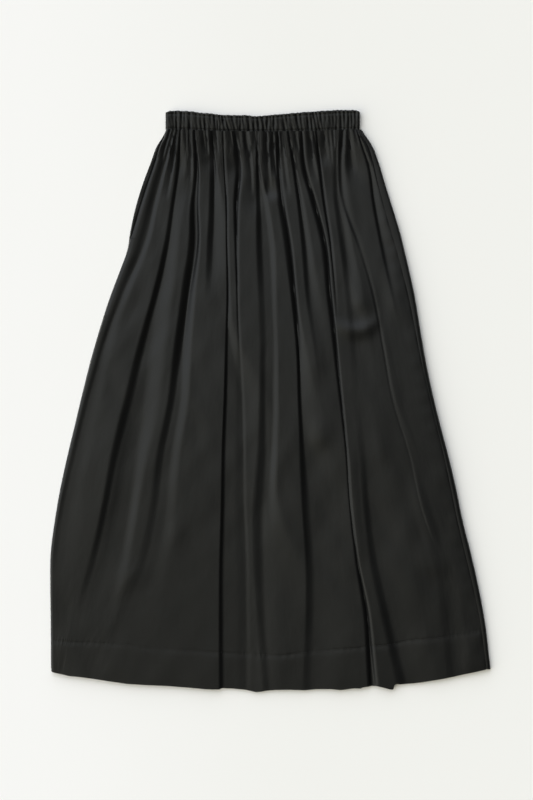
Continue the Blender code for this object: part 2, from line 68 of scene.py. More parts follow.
SIDES = table("height left seam right", (
    (409, -156.8, 132, 138), (400, -161, 138.8, 144), (385, -170.5, 147.2, 153.9),
    (362, -179.1, 154.5, 162.9), (326, -192.5, 162.8, 173.8), (290, -203.3, 172.2, 185),
    (254, -211, 182.3, 195.9), (227, -215.4, 190.2, 202.5), (199, -225.5, 197.7, 209.2),
    (157, -241.3, 208.4, 218.2), (109, -256.8, 218, 226.2), (61, -270.7, 227.6, 234.4),
    (13, -282.8, 238.4, 244.5), (-35, -294.2, 249.8, 256.2), (-84, -306, 262, 269.1),
    (-132, -316.4, 272.2, 280.4), (-180, -324.7, 282, 290.2), (-228, -330.9, 293.2, 302.3),
    (-276, -331.6, 304.6, 313.3), (-324, -331, 314.8, 322.5), (-403, -330.5, 326, 332.4),
))
WAIST_SIDE, WAIST_SAG, WAIST_CENTRE, WAIST_HALF = 409.0, 3.6, -10.5, 146.0

HEM = table("x y", (
    (-331, -406.5), (-323, -409.7), (-315.4, -411.8), (-306, -414), (-288, -415.7),
    (-270, -418.1), (-243, -422.1), (-216, -425.9), (-189, -427.6), (-153, -429.2),
    (-126, -431.3), (-99, -433.7), (-86.6, -434.6), (-76, -434.3), (-73, -432.7), (-59.5, -433.1),
    (-37, -435.2), (-22, -438.7), (-14, -438), (-7, -436.6), (8, -435.3), (31, -435),
    (53, -435.7), (69, -434.2), (91, -433.9), (106, -435.4), (121, -433.4), (128.7, -432.5),
    (134.7, -433.3), (140.7, -430.9), (151.3, -429.7), (160.3, -429.4), (166.3, -430.7),
    (173.8, -432.8), (180, -434.6), (185.1, -434.3), (186.2, -427.9), (190.4, -426.2),
    (196.4, -426.8), (214.5, -425.6), (228, -424), (241.6, -421.7), (259.7, -418.7),
    (277.8, -415.2), (295.8, -411.3), (314, -407.6), (327.4, -404.6), (332, -402.8),
))

# The row of stitches that holds the turned-up hem.
HEM_ROW = table("x y", (
    (-332, -359.5), (-305, -362.1), (-249, -364.5), (-211.5, -366.5), (-183, -371.7),
    (-105, -376.5), (-34, -381.3), (17, -383.2), (43, -379.6), (96, -374.1), (135, -371.4),
    (153, -366.6), (160, -368.7), (180, -366.5), (210, -360), (248, -356.8), (293, -350.5),
    (317, -344.5), (332, -340.5),
))
# A thread meets the hem's edge and its row at the x that it has at these heights.
HEM_LEVEL, ROW_LEVEL = -425.0, -370.0

# Below the row the cloth is double and steps up. The row lies in a groove with its reach above
# and below it, drawn in unevenly by a swaying wave: its length, its sway and the sway's length.
HEM_STEP, HEM_STEP_LENGTH = 0.35, 9.0
GROOVE, GROOVE_ABOVE, GROOVE_BELOW = 0.22, 1.6, 6.0
GROOVE_LEAST, GROOVE_WAVE = 0.6, (23, 2, 61)

# ---- long folds

# A fold is a trough. Its left wall falls into shade and its right wall climbs into the light.
# x: the middle of the left wall at each of LEVELS. At each of STATIONS, how deep the fold is,
# how wide its fall, its floor and its climb are, and how crisp: 1 for walls steepest at the
# floor, 0 for soft S-shaped ones, less than 0 for a left wall steepest at its top.
STATIONS = (340, 240, 120, 0, -160, -330)
FOLDS = table("name x depth fall floor climb crisp", (
    ("pocket",
     (-151, -166.5, -180.5, -195.5, -227, -255, -276.5, -295.5, -314, -325, -327, -326),
     (2.6, 2.4, 1.6, 1.0, .8, 0), (13, 15, 9, 8, 9, 12),
     (0, 0, 0, 5, 6, 5), (5, 7, 12, 16, 22, 30), (0, 0, .2, .2, 0, 0)),
    ("left outer",
     (-136, -139.6, -147, -156, -173.5, -194, -213.8, -233.5, -249, -267, -290, -309),
     (2.8, 3.2, 4.4, 4.4, 2.9, 0.1), (5, 8, 11, 15, 12, 14),
     (0, 0, 1, 15, 32, 37), (20, 16, 28, 28, 13, 20), (.4, .4, 0, 0, 0, 0)),
    ("left inner",
     (-115, -113, -117.5, -118, -129, -139.5, -149.2, -165.5, -175.5, -193, -223, -244),
     (4.5, 6.2, 6.2, 3.6, 1.6, .1), (6, 10.5, 13, 13, 15, 20),
     (1.5, 3, 0, 6, 10, 10), (5, 6, 13, 15, 18, 36), (.6, .6, .3, 0, 0, 0)),
    ("inner short",
     (-90, -87.5, -88.5, -91, -94, -101, -108, -117, -123, -132, -147, -157),
     (4.5, 3.2, -.8, 0, 0, 0), (8, 10.5, 10, 10, 10, 10),
     (0, 0, 0, 0, 0, 0), (8, 22, 20, 20, 20, 20), (.5, .2, 0, 0, 0, 0)),
    ("crevice",
     (-71.5, -69.5, -66.5, -66, -64.5, -66, -67.5, -70, -72, -73.5, -74, -73.5),
     (1.8, 1.5, 2.2, 3.6, 3.4, 3.0), (2.5, 2.5, 3.5, 4.6, 5, 5.5),
     (0, 0, 0, 22, 28, 36), (3, 3, 8, 44, 54, 50), (.8, .8, .7, 0, -.2, -.2)),
    ("crevice edge",
     (-57.5, -50, -53, -52, -50, -48, -48, -47.5, -47, -44, -43, -42.5),
     (4.6, 2.4, .9, .9, .7, .6), (6.5, 4, 3, 12, 16, 14),
     (1, 0, 0, 0, 0, 0), (5, 4, 3, 3.5, 4.5, 7), (.6, .6, .6, .4, .2, .2)),
    ("centre",
     (-20.5, -19.5, -17.8, -16.5, -14, -11.5, -11.5, -12.5, -16.8, -17.5, -14, -8.5),
     (3.0, 4.0, 1.4, 2.6, 3.6, 2.1), (5, 10.5, 11, 12, 19, 15),
     (1, 10, 12.5, 11.5, 3, 8), (5, 8, 3.4, 6, 20, 110), (.3, .1, .2, 0, -.2, 0)),
    ("right inner",
     (9, 10, 14, 23.5, 33.8, 41, 44, 48.5, 54.5, 60, 60, 57.5),
     (5.0, 5.0, 5.0, 3.6, 3.5, 1.9), (8, 10, 5.5, 5, 12, 13),
     (0, 0, 0, 0, 4, 4), (5, 5, 7, 30, 95, 60), (.8, .9, .7, .4, -.8, -.5)),
    ("right middle",
     (26, 35.5, 43, 49.5, 56, 68, 77, 84.5, 92, 99.5, 105.5, 110),
     (3.0, 3.4, 1.0, 0, 0, 0), (4.5, 7, 8, 8, 8, 8),
     (0, 2, 3, 3, 3, 3), (3.4, 6, 18, 18, 18, 18), (.4, .4, .1, 0, 0, 0)),
    ("pleat",
     (45, 49, 63, 78.5, 87, 96.5, 105.5, 114.5, 120, 129, 143, 149),
     (5.2, 5.4, 4.2, 2.2, 1.2, 4.6), (7, 8, 6.5, 3.5, 2.5, 6),
     (0, 0, 0, 0, 0, 0), (5, 4, 4.4, 4.5, 3, 6), (.8, .8, .8, .8, .8, .6)),
    ("pleat side",
     (67, 74, 80, 89.5, 97.5, 102, 109.5, 118.5, 124.5, 134, 148, 153.5),
     (3.0, 1.8, 0, 0, 0, 0), (4, 3, 3, 3, 3, 3),
     (0, 0, 0, 0, 0, 0), (4, 4, 3, 3, 3, 3), (.6, .6, .6, .6, .6, .6)),
    ("pleat back",
     (96, 96.5, 99.5, 108, 118, 124, 130, 139, 145, 155, 172, 191),
     (1.0, 2.2, 1.2, .2, 2.0, 2.8), (8, 10, 12, 12, 12, 15),
     (0, 1, 3, 2, 3, 3), (8, 11, 18, 26, 50, 50), (.1, .1, 0, 0, 0, .2)),
    ("right outer",
     (107, 104, 109.5, 130, 153.5, 169.5, 184, 208.5, 226, 252, 262, 270),
     (2.6, .8, .6, .4, .5, .8), (6, 5, 4, 5, 14, 15),
     (0, 0, 0, 0, 1, 3), (9, 6, 3, 4, 16, 20), (.3, .3, .3, .3, 0, 0)),
    ("seam side",
     (130.5, 148, 155, 166.5, 184, 202, 220.5, 240, 258, 275, 290, 302),
     (2.8, 2.2, 0, 0, 0, 0), (4, 5, 5, 5, 5, 5),
     (0, 0, 0, 0, 0, 0), (8, 16, 6, 6, 6, 6), (.4, .4, .4, .4, .4, .4)),
))
FOLD_NAMED = {fold.name: fold for fold in FOLDS}
# Shares of a fold's left wall, right wall and depth that are left at the waist seam.
FALL_AT_WAIST, CLIMB_AT_WAIST, DEPTH_AT_WAIST, WALLS_GROW_OVER = 1.15, 0.24, 0.78, 110.0
LEAST_WALL, BEND = 2.0, 2.2

# Folds waver sideways and in their depth.
WANDER, DEPTH_WANDER, WANDER_GROWS_OVER = 0.55, 0.14, 60.0
WAVERS = table("length start", ((29, 1.7), (47, 2.9), (83, 4.1)))

# Short gathers below the waist seam: x there, how deep, and how far down they reach.
GATHERS = table("x depth reach", (
    (-154.5, 2.4, 46), (-143.5, 3.4, 105), (-130, 2.4, 45), (-124.3, 3.4, 78),
    (-104, 2.2, 30), (-99.7, 3, 38), (-84.6, 2.6, 36), (-63.4, 2.2, 32), (-50, 2, 30),
    (-40.8, 2.2, 36), (-38, 3.6, 98), (-25.7, 2.2, 36), (-8.6, 3.4, 92), (1, 3.2, 70),
    (14, 3.6, 98), (35, 2, 34), (56, 3.4, 78), (62, 1.8, 28), (78.5, 2.8, 46),
    (85.5, 2, 52), (91.5, 1.6, 30), (116.5, 3.6, 64), (124.5, 1.8, 28),
))
GATHER_WALL, GATHER_WIDENS, GATHER_FALL, GATHER_CLIMB = 3.6, 0.035, 2.1, 0.42
GATHER_FADE, GATHER_CRISP = 0.6, 0.3
SHALLOW_AT_SEAM, DEEPENS_OVER = 0.62, 22.0

# Risers: crisp edges that catch the light, right of a fold's line by a shift. back: how wide
# the return behind one is.
RISERS = table("name fold shift top low height width back", (
    ("outer edge", "right outer", 2.0, 130, -225, 0.55, 3.0, 14),
    ("pleat edge", "pleat", 4.0, -60, -250, 0.8, 3.5, 14),
))
RISER_ENDS = 50.0

# Soft swells (+) and hollows (-), in millimetres of height, with a reach to each side.
SWELLS = table("x y up down left right lift", (
    (-1.5, 315, 18, 8, 7, 14, -3.4), (-53, 352, 30, 16, 13, 10, -2.8),
    (-120, 320, 32, 26, 16, 5, -2.8), (133, 150, 50, 14, 9, 17, 2.4),
    (70, 60, 60, 26, 15, 14, 1.4), (72, -54, 30, 17, 15, 18, 2.2),
    (232, -170, 60, 50, 11, 13, 1.3), (246, -245, 30, 16, 22, 22, 1.3),
    (-3, -185, 40, 34, 8, 16, 1.0), (188, 150, 40, 20, 12, 12, 1.4),
    (-237, -120, 120, 110, 38, 11, 2.0), (-92, 362, 28, 14, 10, 8, -2.4),
    (81, 366, 26, 12, 11, 9, -2.2), (13, 350, 28, 12, 10, 9, -1.6),
    (-132, 356, 24, 14, 9, 8, -1.6), (-210, -262, 18, 28, 18, 24, 1.2),
    (-141, -196, 20, 18, 12, 14, 0.8), (166, -68, 40, 30, 16, 15, 1.1),
    (122, 352, 28, 22, 7, 14, -2.6), (-21, 304, 24, 18, 17, 7, -1.9),
))

# A short ridge curved like a smile, where the cloth has sunk into a pouch above it.
RIDGES = table("x y half sag up down lift", ((129, 106.5, 40, 17, 9, 12, 3.9),))
RIDGE_TAPER = 1.5

# Low crumples: how high, how many across the front, how far and how soon they lean and where
# they start, how long they are down it, and how far and how often those waves bend.
CRUMPLES = table("lift across lean lean_length start down bow bows", (
    (0.34, 47, 1.0, 41, 0, 21, 1.2, 9), (0.15, 83, 0.8, 23, 2, 13, 1.2, 17),
))
PATCH_LEAST, PATCHES_ACROSS, PATCH_LENGTH = 0.6, 5, 90
PUCKER, PUCKER_WAVE, PUCKER_REACH, PUCKER_GROWS_OVER = 0.3, (4.8, 2, 37), 14, 150

# Height of the front's crests above its valleys' floor, at each of LEVELS.
RISE = (5.4, 4.9, 5.1, 6.3, 7.6, 8.6, 9.3, 9.1, 8.2, 7.0, 5.7, 4.6)
SIDE_ROUND, SEAM_ROUND, SEAM_SHARE = 3.6, 12.0, 0.93
SHELF, SHELF_LENGTH, SHELF_CURVE = 4.9, 84.0, 1.5
LEAST_RISE = 0.7

# ---- pocket, back, waistband

POCKET_LOW, POCKET_HIGH, POCKET_SHOWS = 243.0, 402.0, 7.0
FACING_TUCK, FACING_CLEAR_BELOW, FACING_RAMP = 9.0, 60.0, 20.0
FACING_END, FACING_INSET, FACING_LOW = 3.0, 0.3, 0.5
FACING_SWELL, FACING_SWELL_OVER = 0.75, 1.8
FACING_SLOPE, FACING_WAVE, FACING_WAVE_LENGTH = 0.08, 0.05, 7
FACING_DROP, FACING_DROP_SHARE = 0.5, 0.09
EDGE_SETBACK = 0.4

ROLL_SHARE, ROLL_LEAST = 0.92, 0.4
TOP_PARTS, TOP_DROP = (0.4, 0.75, 1.0), 0.25
BACK_HEM_SHORT, BACK_ROW_UP, BACK_GROOVE_HALF, BACK_EDGE = 3.5, 5.5, 2.2, 0.03
BACK_RELIEF, BACK_GATHERS, BACK_REACH = 0.7, 46, 120.0
BACK_SHIFT, BACK_SHIFTS = 0.004, 60

BAND_LEFT, BAND_RIGHT = -157.4, 135.5
BAND_TOP = table("x y", (
    (-157.4, 434), (-151, 436.5), (-142, 437.2), (-124, 436.4), (-115, 435.6), (-106, 434),
    (-88, 432.8), (-79, 431.5), (-66, 430.3), (-34, 430.3), (-25, 428.7), (-16, 428.9),
    (2, 430.6), (20, 432.2), (38, 433.7), (56, 435.2), (75, 436.5), (102, 438.1), (128, 438),
    (135.5, 435),
))
BAND_BODY, BAND_SLOT = 8.0, 2.0

# Creases of the waistband: x of each at its top and at its seam, and how deep it is. Round the
# join of the elastic it lies nearly flat.
CREASES = table("top low depth", (
    (-147, -146.5, 1), (-142.3, -141.8, 1.8), (-134, -135.5, 1.9), (-130.3, -129.8, 1.2),
    (-122, -122.6, 1.9), (-112.5, -111, 0.8), (-106.6, -103.8, 1.2), (-100.1, -98.4, 2),
    (-90.6, -91.6, 0.8), (-85, -83.2, 1.7), (-82, -79.4, 1.5), (-77.6, -76, 1.4),
    (-73.5, -69.5, 2.2), (-70, -62.4, 1.6), (-58.2, -53.8, 1.6), (-50, -50.5, 0.7),
    (-45.8, -45.8, 1.7), (-43, -39.8, 1.2), (-34.2, -32.4, 1.9), (-26.6, -24.6, 1.9),
    (-20.4, -17, 1.7), (-12.6, -10.2, 1.9), (-5, -6, 1.6), (-0.6, 0.8, 0.9),
    (4.2, 4.8, 1.3), (11, 11.6, 0.8), (16.6, 22, 1.8), (22.8, 26, 0.8), (27.6, 33.4, 1.1),
    (37.8, 42.4, 1.8), (44.4, 47.6, 1.2), (54.6, 57.2, 1.8), (60, 62.6, 1.3), (63.4, 69.6, 1.9),
    (67.8, 74.4, 1.8), (74, 78, 1.5), (83, 81, 0.5), (89.5, 88, 0.35),
    (93.5, 95, 0.6), (98, 98.8, 1.1), (104.6, 106.4, 1.4), (110.6, 111, 1.2),
    (116.8, 117.4, 1.2), (121.2, 122.4, 1.2), (127.4, 126.6, 1.3),
))
BAND_SWELL, BAND_TILT = 2.8, 3.0
CREASE_FALL, CREASE_CLIMB, CREASE_SHARE, CREASE_CRISP = 3.8, 3.4, 0.70, 0.4
CREASE_UNEVEN, CREASE_TURN, CREASE_START = 0.45, 6, 2.3
RIPPLE, RIPPLES = 0.16, table("along up sway sway_length", ((0.9, 5, 2, 11), (0.31, 4, 0, 1)))
SCALLOP, SCALLOP_HALF = 0.55, 1.6
BACK_CRINKLE, BACK_CRINKLES, BACK_CRINKLE_SWAY = 0.5, 1.1, 7

# The casing's height, and its rows of stitches: how far below its top they are, how wide and
# how deep they draw it in. Its rims are flattened by a share, over a share.
CASING_HEIGHT, CASING_ROWS, CASING_ROW_HALF, CASING_DRAW = 26.5, (4.6, 24.6), 1.3, 0.5
TOP_RIM, TOP_RIM_OVER, LOW_RIM, LOW_RIM_OVER = 0.16, 0.05, 0.12, 0.06

# ---- grids

# Gaps between the front's columns, and how they and the rows crowd together.
COLUMN_GAP, WAIST_COLUMN_GAP, CROWD, ROWS_CROWD = 2.9, 1.6, 0.08, 0.35
FRONT_ROWS, HEM_ROWS = 162, 18
ABOVE_STEP, STEP_ROWS = 4.0, (1.6, 0.8, 0, -1.5, -3.5, -6.0, -9.0)
BACK_ROWS, BACK_COLUMNS, ROLL_COLUMNS = 110, 150, 14
FACING_ROWS, FACING_COLUMNS = 60, 20
BAND_ROWS, BAND_FRONT_COLUMNS, BAND_BACK_COLUMNS, BAND_TURN_COLUMNS = 30, 330, 110, 14
SHARP = np.radians(48)

# ---- stitches

STITCH, STITCH_GAP, STITCH_LEAD, THREAD, STITCH_SUNK = 2.6, 1.0, 0.5, 0.28, 0.35
STITCH_SIDES, STITCH_RINGS, STITCH_TIP = 8, 7, 0.02
ROW_ENDS = (-360, -345)
# How far in from its ends a row is, its height off its cloth, and points along it.
FRONT_ROW, BACK_ROW, CASING_ROW = table("left right off points", (
    (2, 1, -0.06, 1500), (24, 24, 0.45, 1400), (5, 5, -0.05, 1200)))
TACK_STITCHES, TACK_WIDTH, TACK_HALF, TACK_UP, TACK_INSET, TACK_SUNK = 6, 5, 1.6, 1.5, 1.2, 0.05

# ---- finishes, light, camera

# The satin's relief, in metres, with how much more crinkled it is at the waist.
CRUSH, CRINKLE, WAIST_CRINKLE = 0.0005, 0.00010, 0.00030
STREAK, WEAVE, ROW_PUCKER = 0.000010, 0.0000035, 0.00025
# How far above the hem's row the cloth counts as being where it has none.
OFF_ROW = 0.5
SATIN_TONES = (0.0028, 0.0028, 0.0029, 1), (0.0044, 0.0044, 0.0045, 1)
THREAD_TONES = (0.004, 0.004, 0.0042, 1), (0.010, 0.010, 0.0105, 1)
# The floor's two tones: its paper paler on the left and darker on the right, a painted light
# falloff.
PAPER_LIT_AND_SHADED_TONES = (0.882, 0.856, 0.862, 1), (0.838, 0.814, 0.806, 1)
FLOOR_HALF = 3.0

TO_LIGHT, DARK_END, BRIGHT_END = (-0.8, 0.5, 0.03), -0.30, 0.50
LEAST_LIGHT, LIGHT = 0.04, 2.42
COOL, WARM = (0.89, 0.95, 1.00, 1), (1.03, 0.985, 0.73, 1)
COOL_SHARE, WARM_END, COOL_END = 0.8, -0.5, 0.9
CAMERA_AT, LENS, SENSOR = (-0.0053, 0.0015, 2.684), 80.0, 36.0


# ---- curves and outline

def soft_step(t):
    """A smooth S from 0 to 1: three squares less two cubes."""
    t = np.clip(t, 0, 1)
    return t * t * (3 - 2 * t)


def bell(offset, low_side, high_side):
    """A soft bump's profile: a bell curve with its own half-width on each side."""
    return np.exp(-((offset / np.where(offset < 0, low_side, high_side)) ** 2))


def swaying_wave(at, length, sway, sway_length):
    """A sine wave that another sine wave shifts to and fro."""
    return np.sin(at / length + sway * np.sin(at / sway_length))


def smooth_curve(at, knots, values):
    """Smooth curve through the knots: each piece is a cubic whose slope at a knot is that of
    the parabola through it and its neighbours; past the ends it runs on straight."""
    knots, values = np.asarray(knots, float), np.asarray(values, float)
    if knots[0] > knots[-1]:
        knots, values = knots[::-1], values[::-1]
    slopes = np.gradient(values, knots)
    at = np.asarray(at, float)
    inside = np.clip(at, knots[0], knots[-1])
    k = np.clip(np.searchsorted(knots, inside, side="right") - 1, 0, len(knots) - 2)
    step = knots[k + 1] - knots[k]
    t = (inside - knots[k]) / step
    curve = (
        values[k] * (1 + 2 * t) * (1 - t) ** 2
        + values[k + 1] * t**2 * (3 - 2 * t)
        + step * (slopes[k] * t * (1 - t) ** 2 - slopes[k + 1] * t**2 * (1 - t))
    )
    past = np.where(at > inside, slopes[-1], slopes[0])
    return curve + past * (at - inside)


def along(edge, x):
    """y at x of an edge given point by point, straight between its points."""
    return np.interp(x, [p.x for p in edge], [p.y for p in edge])


def side_at(height, which):
    """x of the left outline, the right-hand seam or the right outline at a height."""
    return smooth_curve(height, [s.height for s in SIDES], [getattr(s, which) for s in SIDES])


def waist_seam(x):
    """y of the waist seam: a shallow sag, lowest at its middle."""
    return WAIST_SIDE - WAIST_SAG * np.clip(1 - ((x - WAIST_CENTRE) / WAIST_HALF) ** 2, 0, 1)


def pocket_setback(height):
    """How far the pocket's mouth stands back from the outline: the root of half a sine wave."""
    t = np.clip((height - POCKET_LOW) / (POCKET_HIGH - POCKET_LOW), 0, 1)
    return POCKET_SHOWS * np.sqrt(np.sin(np.pi * t).clip(0))


def front_left(height):
    """x of the front panel's left edge."""
    return side_at(height, "left") + EDGE_SETBACK + pocket_setback(height)


def front_right(height):
    """x of the front panel's right edge, half a gap short of the seam."""
    return side_at(height, "seam") - SEAM_GAP / 2


def wander(height, number):
    """A slow waver, about -1 to 1: the mean of sine waves whose starts differ from fold to fold."""
    return sum(np.sin(height / w.length + w.start * number) for w in WAVERS) / len(WAVERS)


def fold_x(fold, height):
    """x of a long fold at a height: the smooth curve of its table, which wavers a little."""
    begun = soft_step((WAIST_SIDE - height) / WANDER_GROWS_OVER)
    waver = WANDER * begun * wander(height, FOLDS.index(fold))
    return smooth_curve(height, LEVELS, fold.x) + waver


def guide_names():
    """Names of the guides, the two edges and the long folds: their x at the waist seam."""
    edges = (float(front_left(LEVELS[0])), float(front_right(LEVELS[0])))
    return np.array([edges[0], *(f.x[0] for f in FOLDS), edges[1]])


def line_x(name, height):
    """x of a cloth line at a height: its share of the way between the guides beside it."""
    names = guide_names()
    name, height = np.broadcast_arrays(np.asarray(name, float), np.asarray(height, float))
    k = np.clip(np.searchsorted(names, name, side="right") - 1, 0, len(names) - 2)
    share = (name - names[k]) / (names[k + 1] - names[k])
    folds = [fold_x(f, height) for f in FOLDS]
    paths = np.stack([front_left(height), *folds, front_right(height)])
    low = np.take_along_axis(paths, k[None], 0)[0]
    high = np.take_along_axis(paths, k[None] + 1, 0)[0]
    return low + share * (high - low)


def line_x_through(x, y, height):
    """x, at each height, of the cloth line that passes through (x, y)."""
    names = guide_names()
    return line_x(np.interp(x, line_x(names, y), names), height)


# ---- height of the front

def fall_shape(t, crisp):
    """How far a left wall has fallen at the share t of its width: an S, mixed with a power
    curve steepest at its end, or at its start where crisp is less than 0."""
    late, early = np.clip(t, 0, 1) ** BEND, 1 - (1 - np.clip(t, 0, 1)) ** BEND
    return soft_step(t) + abs(crisp) * (np.where(crisp < 0, early, late) - soft_step(t))


def climb_shape(t, crisp):
    """How far a right wall has climbed at the share t of its width."""
    early = 1 - (1 - np.clip(t, 0, 1)) ** BEND
    return soft_step(t) + np.maximum(crisp, 0) * (early - soft_step(t))


def trough(offset, fall, floor, climb, crisp):
    """A trough's profile across it: 0 outside, 1 on its floor. The offset is measured from
    the middle of its left wall."""
    return (fall_shape(offset / fall + 0.5, crisp)
            - climb_shape((offset - fall / 2 - floor) / climb, crisp))


def rest_at_side(height):
    """Lowest z of the front at its left side: on the facing at the pocket, on the back below."""
    onto_facing = np.clip((height - POCKET_LOW + FACING_CLEAR_BELOW) / FACING_RAMP, 0, 1)
    return FRONT_REST + (MOUTH_REST - FRONT_REST) * onto_facing


def grown(least, share):
    """From a least value, where the share is 0, to 1."""
    return least + (1 - least) * share


def fold_depth(x, height):
    """How far the folds and gathers take the front down: the sum of their troughs. A fold's
    walls and depth follow its table and grow from their shares at the waist seam."""
    below_seam = WAIST_SIDE - height
    from_waist = soft_step(below_seam / WALLS_GROW_OVER)
    fall_grown = grown(FALL_AT_WAIST, from_waist)
    climb_grown = grown(CLIMB_AT_WAIST, from_waist)
    depth_grown = grown(DEPTH_AT_WAIST, from_waist)
    at_seam = grown(SHALLOW_AT_SEAM, soft_step(below_seam / DEEPENS_OVER))
    depth = 0
    for number, fold in enumerate(FOLDS):
        deep, fall, floor, climb, crisp = (
            smooth_curve(height, STATIONS, values)
            for values in (fold.depth, fold.fall, fold.floor, fold.climb, fold.crisp))
        shape = trough(x - fold_x(fold, height), fall.clip(LEAST_WALL) * fall_grown,
                       floor.clip(0) * climb_grown, climb.clip(LEAST_WALL) * climb_grown, crisp)
        uneven = 1 + DEPTH_WANDER * wander(height, number + 0.5)
        depth = depth + deep.clip(0) * depth_grown * uneven * shape
    wall = GATHER_WALL + GATHER_WIDENS * below_seam
    for g in GATHERS:
        fades = np.clip(1 - below_seam / g.reach, 0, 1) ** GATHER_FADE
        shape = trough(x - line_x(g.x, height), GATHER_FALL * wall, 0, GATHER_CLIMB * wall,
                       GATHER_CRISP)
        depth = depth + g.depth * fades * shape
    return depth * at_seam


def crumple(x, height):
    """Low crumples left by wear: products of crossed sine waves that spread with the cloth,
    stronger in patches; and the right-hand seam's puckers, a sine wave that dies out from it."""
    left, right = front_left(height), front_right(height)
    across = (x - left) / (right - left)
    waves = 0
    for c in CRUMPLES:
        lean = c.lean * np.sin(height / c.lean_length)
        bow = c.bow * np.sin(c.bows * across)
        wave = np.sin(c.across * across + lean + c.start) * np.sin(height / c.down + bow)
        waves = waves + c.lift * wave
    uneven = grown(PATCH_LEAST, np.sin(PATCHES_ACROSS * across + height / PATCH_LENGTH))
    pucker = swaying_wave(height, *PUCKER_WAVE) * bell(right - x, PUCKER_REACH, PUCKER_REACH)
    begun = soft_step((WAIST_SIDE - height) / PUCKER_GROWS_OVER)
    return uneven * waves + PUCKER * pucker * begun


def ridge_height(ridge, x, height):
    """How far a ridge lifts a point: a bell across a parabola, fading out to its two ends."""
    along_it = (x - ridge.x) / ridge.half
    ends = np.clip(1 - along_it**2, 0, 1) ** RIDGE_TAPER
    above_it = height - ridge.y - ridge.sag * along_it**2
    return ridge.lift * ends * bell(above_it, ridge.down, ridge.up)


def swell_height(swell, x, height):
    """How far a swell lifts a point: a bell down its cloth line times a bell across it."""
    follow = line_x_through(swell.x, swell.y, height)
    return (swell.lift * bell(height - swell.y, swell.down, swell.up)
            * bell(x - follow, swell.left, swell.right))


def riser_height(riser, x, height):
    """How far a riser lifts a point: a smooth step up across it less a wider one behind it,
    times one at each of its ends."""
    offset = x - fold_x(FOLD_NAMED[riser.fold], height) - riser.shift
    step = soft_step(offset / riser.width + 0.5)
    back = soft_step((offset - riser.width / 2) / riser.back)
    ends = (soft_step((riser.top - height) / RISER_ENDS)
            * soft_step((height - riser.low) / RISER_ENDS))
    return riser.height * (step - back) * ends


def hem_relief(x, height):
    """How far the hem's double layer lifts the front, less the uneven groove of its row: the
    difference of two smooth steps."""
    past_row = along(HEM_ROW, x) - height
    groove = soft_step(past_row / GROOVE_ABOVE + 1) - soft_step(past_row / GROOVE_BELOW)
    uneven = grown(GROOVE_LEAST, swaying_wave(x, *GROOVE_WAVE))
    return HEM_STEP * soft_step(past_row / HEM_STEP_LENGTH) - groove * GROOVE * uneven


def rounded_edge(share):
    """Height of a rounded edge at a share of its width: a quarter of a circle."""
    return np.sqrt(1 - (1 - np.clip(share, 0, 1)) ** 2)


def front_height(x, height):
    """z of the front's upper side: its rise and reliefs less its folds, softly kept above the
    valleys' floor and rounded down at its side and its seam."""
    rise = smooth_curve(height, LEVELS, RISE)
    at_seam = SEAM_SHARE * rise
    for parts, lift in ((SWELLS, swell_height), (RISERS, riser_height), (RIDGES, ridge_height)):
        for part in parts:
            rise = rise + lift(part, x, height)
    shelf = SHELF * np.clip(1 - (WAIST_SIDE - height) / SHELF_LENGTH, 0, 1) ** SHELF_CURVE
    rise = rise + shelf + crumple(x, height) - fold_depth(x, height)
    rise = LEAST_RISE * np.logaddexp(0, rise / LEAST_RISE)
    rise = at_seam + (rise - at_seam) * rounded_edge((front_right(height) - x) / SEAM_ROUND)
    full = VALLEY_TOP + rise + hem_relief(x, height)
    edge_rest = rest_at_side(height)
    return edge_rest + (full - edge_rest) * rounded_edge((x - front_left(height)) / SIDE_ROUND)


def seam_height(height):
    """z of the upper side along the right-hand seam."""
    return VALLEY_TOP + SEAM_SHARE * smooth_curve(height, LEVELS, RISE)


# ---- meshes

def fill(data, name, values, kind=np.float32):
    """Hands a whole array to a mesh."""
    data.foreach_set(name, np.ascontiguousarray(values, kind).ravel())


def make_piece(name, points, faces, material):
    """One piece from points in millimetres and quads, riding on the skirt's one body."""
    mesh = bpy.data.meshes.new(name)
    mesh.vertices.add(points.size // 3)
    fill(mesh.vertices, "co", points * MM)
    mesh.loops.add(faces.size)
    fill(mesh.loops, "vertex_index", faces, np.int32)
    mesh.polygons.add(len(faces))
    fill(mesh.polygons, "loop_start", np.arange(0, faces.size, faces.shape[1]), np.int32)
    mesh.update(calc_edges=True)
    mesh.validate()
    mesh.shade_smooth()
    mesh.set_sharp_from_angle(angle=SHARP)
    mesh.materials.append(material)
    piece = bpy.data.objects.new(name, mesh)
    bpy.context.scene.collection.objects.link(piece)
    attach(piece, BODY)
    return piece


def quads(*corners):
    """Quads from the numbers of their four corners."""
    return np.stack(corners, -1).reshape(-1, 4)


def shell_faces(rows, columns, ring=False):
    """Quads of a wall between an upper and a lower grid: two sheets and the rims that join
    them. A ring's last column meets its first, so it has rims at its two ends alone."""
    a = np.arange(columns if ring else columns - 1)
    b = (a + 1) % columns
    r = np.arange(rows - 1)[:, None] * columns
    under, last = rows * columns, (rows - 1) * columns
    sheets = [quads(r + a, r + columns + a, r + columns + b, r + b),
              quads(r + b, r + columns + b, r + columns + a, r + a) + under,
              quads(a, b, b + under, a + under),
              quads(last + b, last + a, last + a + under, last + b + under)]
    if not ring:
        r, end = r.ravel(), columns - 1
        sheets += [quads(r + columns, r, r + under, r + columns + under),
                   quads(r + end, r + columns + end, r + columns + end + under, r + end + under)]
    return np.concatenate(sheets)


